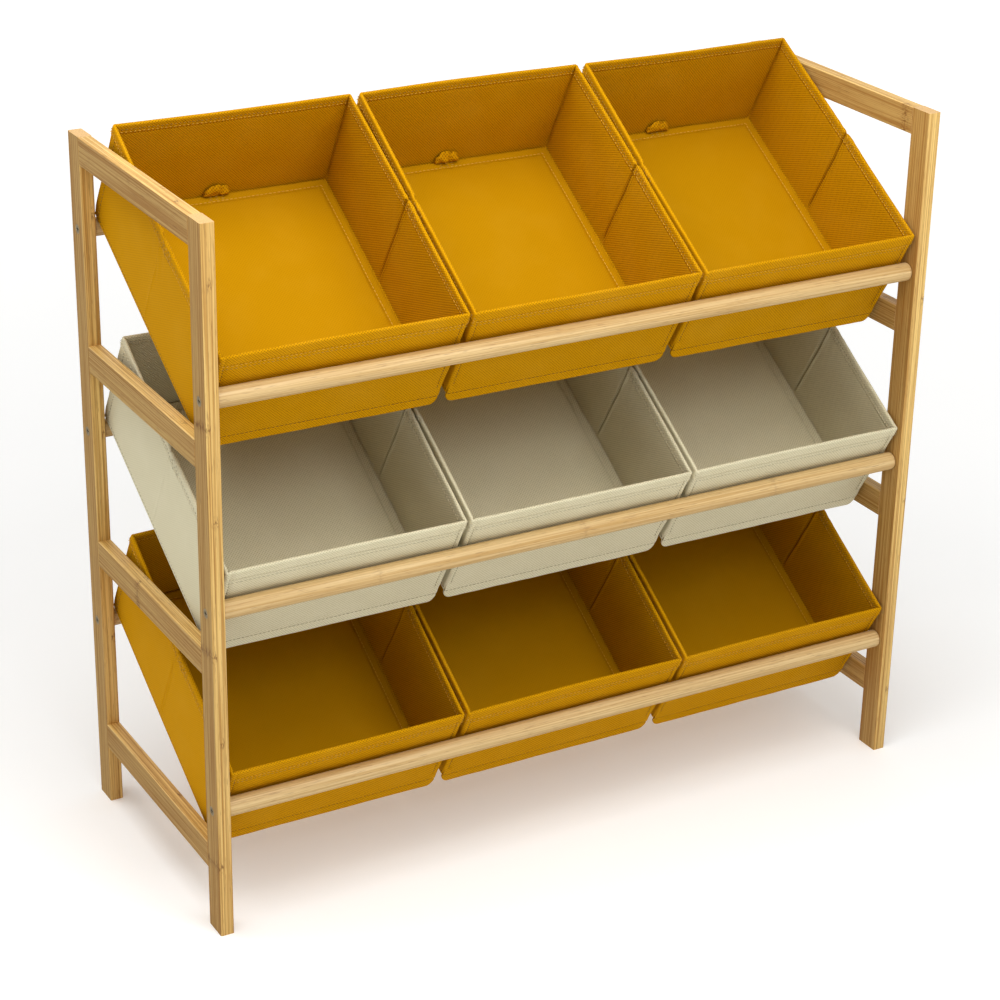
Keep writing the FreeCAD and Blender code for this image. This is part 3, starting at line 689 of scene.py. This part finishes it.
def settle(points, halfWide, long, high, mood):
    # how a bin's walls lean, bow and fold, over its whole space in mm
    cloth = binCloth
    x, u, v = np.moveaxis(points, -1, 0)
    side, depth, rise = x / halfWide, np.clip(u / long, 0, 1), np.clip(v / high, 0, 1)
    foot = cloth["footHalf"][0] * (1 - depth) + cloth["footHalf"][1] * depth
    rim = cloth["rimHalf"][0] * (1 - depth) + cloth["rimHalf"][1] * depth
    wide = foot * (1 - rise) + rim * rise
    atSide = np.sign(side) * np.abs(side) ** 8
    fanned = 0.25 + 0.75 * rise  # a quarter of the fold is left at the foot
    folded = cloth["fold"] * mood["fold"] * (1 - 2 * np.abs(depth - 0.5)) * fanned
    bowed = mood["sideBow"] * np.sin(math.pi * depth) * np.sin(math.pi * rise)
    newX = side * wide + atSide * (folded + bowed)
    atFront, atRear = (1 - depth) ** 10, depth ** 10
    middle = np.cos(np.clip(side, -1, 1) * math.pi / 2)
    frontLean = cloth["frontLean"] * np.clip((v - cloth["leanFrom"]) / (high - cloth["leanFrom"]), 0, 1)
    rearLean = cloth["rearLean"] * rise
    newU = u + (1 - depth) * frontLean + depth * rearLean
    newU += atFront * middle * mood["frontBow"] * smooth(v, cloth["bowFrom"] * high, high)
    newU += atRear * middle * mood["rearBow"] * rise
    atRim = smooth(rise, cloth["waveFrom"], 1)
    newV = v + atRim * mood["rimWave"](x, u)
    sag = -mood["sag"] * middle * np.sin(math.pi * depth) * smooth(v, cloth["sagBelow"], 0)
    return np.stack([newX, newU, newV + sag], axis=-1)


def foldRelief(fromFold, outside, outerShare):
    # the pressed fold in the middle of a side wall
    deep, reach, at = binCloth["valley"]
    inner = deep * bell(fromFold - at, reach)
    tall, reach, at = binCloth["ridge"]
    inner -= tall * bell(fromFold - at, reach)
    tall, reach, at, grooveAt = binCloth["outerRidge"]
    outer = tall * (bell(fromFold - at, reach) - bell(fromFold - grooveAt, reach))
    return np.where(outside > 0, outer * outerShare, inner) * np.abs(outside)


def wallPush(name, high, halfWide, foldAt, ring, points, outside, ripple):
    # how far the cloth stands off its plain wall, and how far it is from the fold and the front's seams
    cloth = binCloth
    x, u, v = points[..., 0], points[..., 1], points[..., 2]
    straight, farOff = 0.99, 1e3  # a column square to its wall; mm, on a wall without fold or seam
    onSide, onFront = np.abs(ring[:, 2]) > straight, ring[:, 3] < -straight
    fromFold = np.where(onSide, u - foldAt, farOff)
    onWall = smooth(v, *cloth["wallFrom"])
    rackSide = {"left": -1, "right": 1}.get(name.split("_")[1], 0)
    besideRack = ring[:, 2] * rackSide > straight
    push = foldRelief(fromFold, outside, np.where(besideRack, 1, cloth["betweenBins"]))
    lost, start, end = cloth["foldInHem"]
    push *= onWall * (1 - lost * smooth(v, high - start, high - end))
    arcShare = np.abs(ring[:, 2] * ring[:, 3]) * 2  # 1 in the middle of a corner
    push += np.where(outside > 0, cloth["bead"], cloth["cornerSeam"]) * arcShare * onWall
    fromEdge = np.where(onFront, halfWide - np.abs(x) - cloth["edgeSeam"], farOff)
    deep, reach = cloth["edgeGroove"]
    push -= np.where(outside > 0, deep, 0) * bell(fromEdge, reach)
    deep, reach, start, end = cloth["pinch"]
    push -= outside * deep * bell(fromFold, reach) * smooth(v, high - start, high - end)
    deep, reach, start, end = cloth["overlap"]
    ahead = np.where(fromFold < 0, np.exp(fromFold / reach), 0)
    push += deep * ahead * smooth(v, high - start, high - end)
    sidesApart = 700 * np.sign(ring[:, 2])  # so that the two sides ripple differently
    around = np.where(np.abs(ring[:, 3]) > np.abs(ring[:, 2]), x, u + sidesApart)
    span, calmed = cloth["calm"]
    calm = smooth(v, 0, span) * (1 - calmed * smooth(v, high - span, high))
    push += cloth["ripple"] * ripple(around, v) * calm
    low, lowFull, topFull, top = cloth["dowelSpan"]
    drawnIn = cloth["dowelRoom"] * np.where(onFront, 1, 0) * smooth(v, low, lowFull)
    push -= drawnIn * (1 - smooth(v, topFull, top))
    look = cloth["wrinkle"]
    start, end = look["below"]
    wrinkle = bell(u - foldAt, look["reach"]) * smooth(v, high - start, high - end) * np.where(onSide, 1, 0)
    phase = (u - foldAt) * look["along"] + (high - v) * look["down"]
    push += look["deep"] * wrinkle * np.sin(phase) * outside
    return push, fromFold, fromEdge, onWall


def binShell(name, seed):
    cloth = binCloth
    place, halfWide, long, high = binFrame(name)
    draw = np.random.default_rng(seed)
    mood = {key: draw.uniform(least, most) for key, (least, most) in binMood.items()}
    mood["rimWave"] = waves(seed + 100, *cloth["rimWaves"])
    ripple = waves(seed + 200, *cloth["rippleWaves"])
    foldAt = long / 2 + mood["foldShift"]
    sideCore = long - 2 * cloth["cornerRound"]
    foldPlaces = [foldAt - cloth["cornerRound"] + step for step in cloth["foldSteps"]]
    frontCore = 2 * (halfWide - cloth["cornerRound"])
    edge = cloth["edgeSeam"] - cloth["cornerRound"]
    grooveSteps = (-0.8, 0, 0.8)  # mm, columns that shape an edge seam
    edgePlaces = [seam + step for seam in (edge, frontCore - edge) for step in grooveSteps]
    cores = ((frontCore, edgePlaces), (sideCore, foldPlaces))
    ring, marks = ringColumns(*(evenRun(core, cloth["spacing"], extra) for core, extra in cores))
    rows, named = wallRows(high)
    points = sweptForm(halfWide, long, cloth["cornerRound"], rows, ring)
    outside = np.where(np.arange(len(rows)) < named["inside"], 1.0, -1.0)[:, None]
    overRim = slice(named["inside"] - rimSteps, named["inside"])
    outside[overRim, 0] = np.cos(np.linspace(0, math.pi, rimSteps))  # turning over the rim
    push, fromFold, fromEdge, onWall = wallPush(name, high, halfWide, foldAt, ring, points, outside, ripple)
    points[..., 0] += push * ring[:, 2]
    points[..., 1] += push * ring[:, 3]
    deep, reach, start = cloth["notch"]
    points[..., 2] -= deep * bell(fromFold, reach) * smooth(points[..., 2], high - start, high)
    vertices, quads, corners = closeForm(points, marks)
    vertices = settle(vertices, halfWide, long, high, mood)
    grid = toShelf(vertices[:points.shape[0] * points.shape[1]].reshape(points.shape), place)
    skirt = frontSkirt(seed, halfWide, long, high, mood)
    skirtCount = len(skirt["points"])
    turned = 0.7  # past this a corner's column counts to the wall
    outerSide = (outside > 0) & (np.abs(ring[:, 2]) > turned)
    outerFront = (outside > 0) & (ring[:, 3] < -turned)
    wallWeave = np.where(outerFront, cloth["frontWeave"], cloth["innerWeave"])
    weaveShow = np.full(len(vertices) + skirtCount, cloth["flatWeave"])
    weaveShow[:outerSide.size] = np.where(outerSide, cloth["flatWeave"], wallWeave).ravel()
    weaveShow[len(vertices):] = cloth["frontWeave"]
    # painted shade: the inner face darkened along the fold's valley, where shade falls
    dark, reach = cloth["creaseShadeLine"]
    creaseShadeMask = np.where(outside < 0, bell(fromFold - cloth["valley"][2], reach), 0) * onWall
    creaseShade = np.zeros(len(weaveShow))
    creaseShade[:outerSide.size] = dark * creaseShadeMask.ravel()
    skirtFaces = [[number + len(vertices) for number in face] for face in skirt["faces"]]
    return {
        "points": toShelf(np.concatenate([vertices, skirt["points"]]), place),
        "faces": quads.tolist() + skirtFaces,
        "map": np.concatenate([corners.reshape(-1, 2), skirt["map"]]),
        "shows": {"weaveShow": weaveShow, "creaseShade": creaseShade},
        "grid": grid,
        "named": named,
        "marks": marks,
        "fromFold": fromFold[0],
        "edgeColumns": np.flatnonzero(np.abs(fromEdge[0]) < 0.1),
        "skirtSeam": toShelf(skirt["seam"], place),
    }


skirtCloth = {
    "thick": 2.4,  # mm
    "cornerRound": 9,
    "proud": 0.5,  # in front of the wall that it is sewn on
    "flare": 2.2,
    "wave": 0.6,
    "waves": (5, 30, 120),
    "groove": (1.0, 0.9),  # drawn in by its stitches, depth and reach
    "seamAt": 0.3,
    "stations": 70,
    "inset": 0.9,  # from the bin's edge
    "tuck": 0.4,  # behind the wall's face at its upper end
}


def frontSkirt(seed, halfWide, long, high, mood):
    # the doubled lower edge of the front wall, sewn on in front of the floor, with rounded lower corners
    look = skirtCloth
    thick, drop, radius = look["thick"], binCloth["skirt"], look["cornerRound"]
    wave = waves(seed + 300, *look["waves"])
    reach = halfWide - look["inset"]
    ends = reach - radius * (1 - np.cos(np.linspace(0, math.pi / 2, 8)))
    inner = np.linspace(-(reach - radius), reach - radius, look["stations"])
    stations = np.concatenate([-ends, inner[1:-1], ends[::-1]])
    front = [14, 10, 6, 3.4, 2, 1, look["seamAt"], -0.4, -1.4, -3, -5, -7, -8.6]  # heights of its face
    foot = [(-9.6, 0.12), (-10, 0.5), (-9.6, 0.88)]
    rear = [-8.6, -5, -2, 2, 8, 14]
    rows = np.array([(v, 0) for v in front] + foot + [(v, 1) for v in rear])
    lost = np.clip(np.abs(stations) - (reach - radius), 0, radius)
    fall = drop - (radius - np.sqrt(np.maximum(radius ** 2 - lost ** 2, 0)))
    v = np.where(rows[:, 0] < 0, rows[:, 0] * fall[:, None] / drop, rows[:, 0])
    x = np.repeat(stations[:, None], len(rows), axis=1)
    below = np.clip(-v / drop, 0, 1)
    u = look["tuck"] - (look["tuck"] + look["proud"]) * smooth(v, 14, 3) - look["flare"] * below ** 2
    deep, seamReach = look["groove"]
    u = u + deep * bell(v - look["seamAt"], seamReach) * (1 - rows[:, 1])
    u = u + rows[:, 1] * thick + look["wave"] * wave(x, v) * below
    settled = settle(np.stack([x, u, v], axis=-1), halfWide, long, high, mood)
    count, turns = len(stations), len(rows)
    numbers = numbered(count, turns)
    faces = gridQuads(ringClosed(numbers)).tolist()
    middle = settled[count // 2]
    along = runLengths(np.concatenate([middle, middle[:1]]))
    wide = np.repeat(stations[:, None], turns + 1, axis=1)
    strip = np.stack([wide, np.tile(-along, (count, 1))], axis=-1)
    corners = strip.reshape(-1, 2)[gridQuads(numbered(count, turns + 1))].reshape(-1, 2)
    caps = [numbers[0].tolist(), numbers[-1][::-1].tolist()]
    capMap = np.concatenate([settled[0][:, 1:], settled[-1][::-1, 1:]])
    return {
        "points": settled.reshape(-1, 3),
        "faces": faces + caps,
        "map": np.concatenate([corners, capMap]) * mm,
        "seam": settled[4:-4, front.index(look["seamAt"])],
    }


def offCloth(grid):
    # direction off the cloth at every point of a swept grid
    aroundStep = np.roll(grid, -1, axis=1) - np.roll(grid, 1, axis=1)
    riseStep = np.gradient(grid, axis=0)
    off = np.cross(aroundStep, riseStep)
    return off / np.linalg.norm(off, axis=-1, keepdims=True)


seamShadeShares = {  # how far each seam's thread is mixed to its deep colour, painted shade for the shadow in a seam's groove; a second row beside a hem is the painted shadow of the hem's edge
    "outerHem": (0, 0.4),
    "innerHem": (0, 0.6),
    "foot": 0.95,
    "frontEdge": 0.9,
    "corner": 0.6,
    "tack": (0, 0.4),
    "skirt": 0.95,
}


def binSeams(shell):
    grid, named, marks = shell["grid"], shell["named"], shell["marks"]
    off = offCloth(grid)
    count = grid.shape[1]
    seams = []

    def alongRow(row, start, end, shade):
        places = np.arange(start, end + 1) % count
        seams.append((grid[row, places], off[row, places], shade))

    def upColumn(column, low, high, shade):
        seams.append((grid[low:high + 1, column % count], off[low:high + 1, column % count], shade))

    frontStart, rightStart, rearStart, leftStart = marks
    hemRow, stitchRow, innerRow, footRow = (named[key] for key in
                                            ("outerHem", "outerStitch", "innerStitch", "footSeam"))
    for start, end in zip(marks, marks[1:] + [count]):  # hems wall by wall; the front's is taller
        outerRows = (hemRow - 1, hemRow - 2) if start == frontStart else (stitchRow, hemRow + 3)
        for row, shade in zip(outerRows, seamShadeShares["outerHem"]):
            alongRow(row, start, end, shade)
        for row, shade in zip((innerRow, innerRow - 1), seamShadeShares["innerHem"]):
            alongRow(row, start + 4, end - 4, shade)
    for start, end in ((rightStart, rearStart), (rearStart, leftStart), (leftStart, count)):
        alongRow(footRow, start + 3, end - 3, seamShadeShares["foot"])
    for column in shell["edgeColumns"]:  # down the front wall
        upColumn(column, footRow + 3, hemRow - 1, seamShadeShares["frontEdge"])
    for column in (rightStart + 5, rearStart - 5, leftStart + 5, count - 5):  # beside the corner seams
        upColumn(column, footRow, hemRow - 1, seamShadeShares["corner"])
    for start, end in ((rightStart, rearStart), (leftStart, count)):  # bar tacks across the hem at the fold
        places = np.arange(start, end)
        stops = [places[np.abs(shell["fromFold"][places] - away).argmin()] for away in binCloth["tack"]]
        for low, high in ((innerRow, named["inside"]), (stitchRow, stitchRow + 2)):
            for turn, shade in enumerate(seamShadeShares["tack"]):
                for k, (first, last) in enumerate(zip(stops[:-1], stops[1:])):
                    fromRow, toRow = (low, high) if (k + turn) % 2 else (high, low)
                    line = np.linspace(grid[fromRow, first], grid[toRow, last], 3)
                    seams.append((line, np.repeat(off[low, first][None], 3, axis=0), shade))
    seam = shell["skirtSeam"]
    seams.append((seam, np.repeat(-np.array(binAlong)[None], len(seam), axis=0), seamShadeShares["skirt"]))
    return seams


def buildBin(name, tier, seed):
    shell = binShell(name, seed)
    colour = tierCloth[tier]
    body = f"{name}_bin"
    piece = addObject(f"bin_cloth_{name}", shell["points"], shell["faces"], shell["map"],
                      shell["shows"], finishes[colour])
    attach(piece, body)
    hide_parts(f"bin_{name}")
    thread = finishes[f"{colour}Thread"]
    stitches = sewStitches(f"bin_stitches_{name}", binSeams(shell), seed, thread, "bin")
    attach(stitches, body)


# Base boards

boardCloth = {
    "hem": 9.5,  # mm of flat sewn cloth round the stiff core
    "hemThick": 1.7,
    "cornerRound": 5,
    "spacing": 7,
    "wave": 0.8,
    "waves": (7, 60, 240),
    "curl": 1.2,  # rear hem lifted towards the wall
    "finish": {"mustard": ("shadedMustardBoard", 0.2), "cream": ("cream", 0.8)},  # and the weave that shows; the mustard boards take a darker copy of their cloth, painted shade on an up-facing face
    "barShade": 0.3,  # of the bars that hold the pull tab
}


def buildBoard(name, tier, seed):
    look = boardCloth
    (left, right), (front, rear), (under, upper) = solidSpan(f"base_board_{name}")
    halfWide, long, thick = (right - left) / 2 / mm, (rear - front) / mm, (upper - under) / mm
    place = Vector(((left + right) / 2, 0, 0)) + binAlong * front + binUp * under
    hem, low = look["hem"], look["hemThick"]
    rows = [  # inset and height, from the underside over the hem to the core
        (2, 0), (0.8, 0.15), (0.2, 0.5), (0, low / 2), (0.2, low - 0.35), (0.8, low), (3, low), (6, low),
        (hem - 1.2, low), (hem, low - 0.3), (hem + 0.8, low + 0.2), (hem + 1.6, thick - 0.9),
        (hem + 2.8, thick - 0.25), (hem + 4.5, thick), (hem + 9, thick)]
    barRows, stitchRowAt = (6, 7), 8
    cores = (span - 2 * look["cornerRound"] for span in (2 * halfWide, long))
    ring, marks = ringColumns(*(evenRun(core, look["spacing"]) for core in cores))
    points = sweptForm(halfWide, long, look["cornerRound"], rows, ring)
    vertices, quads, clothMap = closeForm(points, marks)
    wave = waves(seed + 400, *look["waves"])
    onTop = smooth(vertices[:, 2], low * 0.4, low)
    rearLift = look["curl"] * smooth(vertices[:, 1], long - 12, long) * (1 + wave(vertices[:, 0] * 2, 40.0))
    vertices[:, 2] += onTop * look["wave"] * wave(vertices[:, 0], vertices[:, 1]) + rearLift
    shelf = toShelf(vertices, place)
    grid = shelf[:points.shape[0] * points.shape[1]].reshape(points.shape)
    colour = tierCloth[tier]
    body = f"{name}_board"
    finish, weaveShow = look["finish"][colour]
    piece = addObject(f"base_board_cloth_{name}", shelf, quads.tolist(), clothMap, {"weaveShow": weaveShow},
                      finishes[finish])
    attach(piece, body)
    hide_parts(f"base_board_{name}")
    off = offCloth(grid)
    around = np.arange(grid.shape[1] + 1) % grid.shape[1]
    seam = [(grid[stitchRowAt, around], off[stitchRowAt, around], 0)]
    middle = (marks[2] + marks[3]) // 2
    for row in barRows:
        places = np.arange(middle - 1, middle + 2)
        seam.append((grid[row, places], off[row, places], look["barShade"]))
    thread = finishes[f"{colour}Thread"]
    stitches = sewStitches(f"base_board_stitches_{name}", seam, seed + 50, thread, "board")
    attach(stitches, body)


# Pull tabs

tabCloth = {
    "thick": 2.2,  # mm
    "thinnest": 0.15,  # share of it left at the round edge
    "foot": 3,
    "columns": 26,
    "rows": 14,
    "size": (0.9, 0.82),  # of its solid's width and height
    "crumple": 3,
    "crumpleWaves": (6, 7, 20),
    "bulge": 4.0,  # towards the front, as a doubled loop
    "pleat": (3.4, 1.5),  # depth and reach
    "dent": (2.4, 2.5),  # in its round edge, at the pleat
    "lean": 0.05,
    "weaveShow": 0.8,
}


def buildTab(name, tier, seed):
    look = tabCloth
    (left, right), (front, rear), (low, _) = solidSpan(f"pull_tab_{name}")
    radius = (right - left) / 2 / mm
    place = Vector(((left + right) / 2, 0, 0)) + binAlong * (front + rear) / 2 + binUp * low
    across = np.linspace(-1, 1, look["columns"])
    up = np.linspace(0, 1, look["rows"])
    wide, height = look["size"]
    x = np.repeat(wide * radius * np.sin(across * math.pi / 2)[None], len(up), axis=0)
    pleatAt = np.random.default_rng(seed + 600).uniform(0, 4)
    tall = height * (look["foot"] + radius * np.cos(across * math.pi / 2))
    deep, reach = look["dent"]
    tall = tall - deep * bell(x[0] - pleatAt - 2, reach)
    high = up[:, None] * tall[None]
    crumple = waves(seed + 500, *look["crumpleWaves"])
    share = up[:, None]
    bend = look["crumple"] * crumple(x, high) * smooth(high, 0, 6) + look["lean"] * high
    bend = bend - look["bulge"] * np.sin(math.pi * share ** 0.8) * (1 - 0.6 * across[None] ** 2)
    deep, reach = look["pleat"]
    bend = bend + deep * bell(x - pleatAt - 2 * share, reach) * np.sin(math.pi * share) ** 0.3
    thin = look["thinnest"] ** 2
    sideEdge, topEdge = (np.sqrt(np.clip(1 - far, thin, 1)) for far in (np.abs(across) ** 6, up ** 8))
    edge = sideEdge[None] * topEdge[:, None]
    faces, sheets = [], []
    count = x.size
    numbers = numbered(*x.shape)
    for side, flip in ((-1, False), (1, True)):
        sheets.append(np.stack([x, bend + side * look["thick"] / 2 * edge, high], axis=-1).reshape(-1, 3))
        faces += gridQuads(numbers + (count if flip else 0), flip).tolist()
    ring = np.concatenate([numbers[0], numbers[1:, -1], numbers[-1, -2::-1], numbers[-2::-1, 0]])
    faces += gridQuads(np.stack([ring, ring + count]), True).tolist()  # closes the tab all round
    flat = np.concatenate(sheets)
    clothMap = np.concatenate([flat[face][:, [0, 2]] for face in faces]) * mm
    colour = tierCloth[tier]
    piece = addObject(f"pull_tab_cloth_{name}", toShelf(flat, place), faces, clothMap,
                      {"weaveShow": look["weaveShow"]}, finishes[colour])
    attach(piece, f"{name}_board")
    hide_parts(f"pull_tab_{name}")


for tierNumber, tier in enumerate(tierNames):
    for columnNumber, column in enumerate(columnNames):
        name = f"{tier}_{column}"
        seed = 10 * tierNumber + columnNumber + 1
        buildBin(name, tier, seed)
        buildBoard(name, tier, seed)
        buildTab(name, tier, seed)
    print("bins sewn:", tier, "tier")

# Floor, light and camera

studio = {
    "floor": ("#FAFAF9", "#F7F7F6"),
    "floorInGloss": "#5A5A58",  # what lacquer mirrors of it
    "floorSpan": 40,  # metres
    "floorGlow": (0.12, 0.5),  # lit from below like a light table, near the shelf and away from it
    "glowReach": (0.9, 3.0),  # metres from the middle
    "world": ("#FFFFFF", 0.45),
    "lamps": [  # round soft boxes, metres and watts
        {"name": "overheadLamp", "place": (-0.5, -0.35, 1.85), "size": 1.3, "power": 15.6},
        {"name": "frontLamp", "place": (0.1, -1.2, 1.6), "size": 1.3, "power": 14},
    ],
    "lampAim": (0, 0, 0.4),
    "sun": {"azimuth": -140, "height": 45, "spread": 50, "strength": 0.75},  # degrees; from behind
}


def paleFloor():
    material, tree = newMaterial("paleFloor")
    place = addNode(tree, "TexCoord").outputs["Object"]
    cloud = addNode(tree, "TexNoise", {"Vector": place, "Scale": 1.5, "Detail": 2})
    mirrored = addNode(tree, "LightPath").outputs["Is Glossy Ray"]
    surface = linear(studio["floor"][0])
    for share, colour in ((cloud, studio["floor"][1]), (mirrored, studio["floorInGloss"])):
        mixed = addNode(tree, "Mix", {0: share, 6: surface, 7: linear(colour)}, data_type="RGBA")
        surface = mixed.outputs[2]
    away = addNode(tree, "VectorMath", {0: place}, operation="LENGTH").outputs["Value"]
    (near, far), (least, most) = studio["glowReach"], studio["floorGlow"]
    glow = addNode(tree, "MapRange", {"Value": away, "From Min": near, "From Max": far,
                                      "To Min": least, "To Max": most})
    finishMaterial(material, {"Base Color": surface, "Roughness": 0.7, "Emission Color": surface,
                              "Emission Strength": glow})
    half = studio["floorSpan"] / 2
    mesh = bpy.data.meshes.new("floor")
    corners = [(-half, -half, 0), (half, -half, 0), (half, half, 0), (-half, half, 0)]
    mesh.from_pydata(corners, [], [(0, 1, 2, 3)])
    mesh.materials.append(material)
    floor = addToScene("floor", mesh)


def softSun(azimuth, height, spread, strength):
    lamp = bpy.data.lights.new("softSun", "SUN")
    lamp.angle = math.radians(spread)
    lamp.energy = strength
    light = addToScene("softSun", lamp)
    light.rotation_euler = (math.radians(90 - height), 0, math.radians(azimuth))


def softLamp(name, place, size, power):
    lamp = bpy.data.lights.new(name, "AREA")
    lamp.shape = "DISK"
    lamp.size = size
    lamp.energy = power
    light = addToScene(name, lamp)
    turned = (Vector(place) - Vector(studio["lampAim"])).to_track_quat("Z", "Y").to_matrix().to_4x4()
    light.matrix_world = Matrix.Translation(Vector(place)) @ turned
    light.visible_camera = False


def studioWorld():
    # a white room that lights the shelf less than it shows
    world = bpy.data.worlds.new("studio")
    world.use_nodes = True
    tree = world.node_tree
    colour, least = studio["world"]
    sky = tree.nodes["Background"]
    sky.inputs["Color"].default_value = linear(colour)
    path = addNode(tree, "LightPath").outputs
    seen = addNode(tree, "Math", {0: path["Is Camera Ray"], 1: path["Is Glossy Ray"]}, operation="MAXIMUM")
    strength = addNode(tree, "MapRange", {"Value": seen, "To Min": least, "To Max": 1})
    tree.links.new(strength.outputs[0], sky.inputs["Strength"])
    bpy.context.scene.world = world


shot = {
    "azimuth": -29.8,  # degrees to the left of the front
    "elevation": 24.3,
    "roll": 1.15,
    "distance": 2.907,
    "aim": (-0.0076, 0, 0.3456),
    "focal": 2606,  # pixels, in a frame 1000 pixels wide
    "frame": 1000,
}


def addCamera():
    azimuth, elevation, roll = (math.radians(shot[key]) for key in ("azimuth", "elevation", "roll"))
    back = Vector((math.sin(azimuth) * math.cos(elevation), -math.cos(azimuth) * math.cos(elevation),
                   math.sin(elevation)))
    level = Vector((math.cos(azimuth), math.sin(azimuth), 0))
    right = level * math.cos(roll) + back.cross(level) * math.sin(roll)
    lens = bpy.data.cameras.new("camera")
    lens.sensor_width = 36
    lens.lens = lens.sensor_width * shot["focal"] / shot["frame"]
    camera = addToScene("camera", lens)
    turned = Matrix((right, back.cross(right), back)).transposed().to_4x4()
    camera.matrix_world = Matrix.Translation(Vector(shot["aim"]) + back * shot["distance"]) @ turned
    bpy.context.scene.camera = camera


paleFloor()
studioWorld()
softSun(**studio["sun"])
for lamp in studio["lamps"]:
    softLamp(**lamp)
addCamera()
bpy.context.scene.view_settings.view_transform = "Standard"
print("stage set")
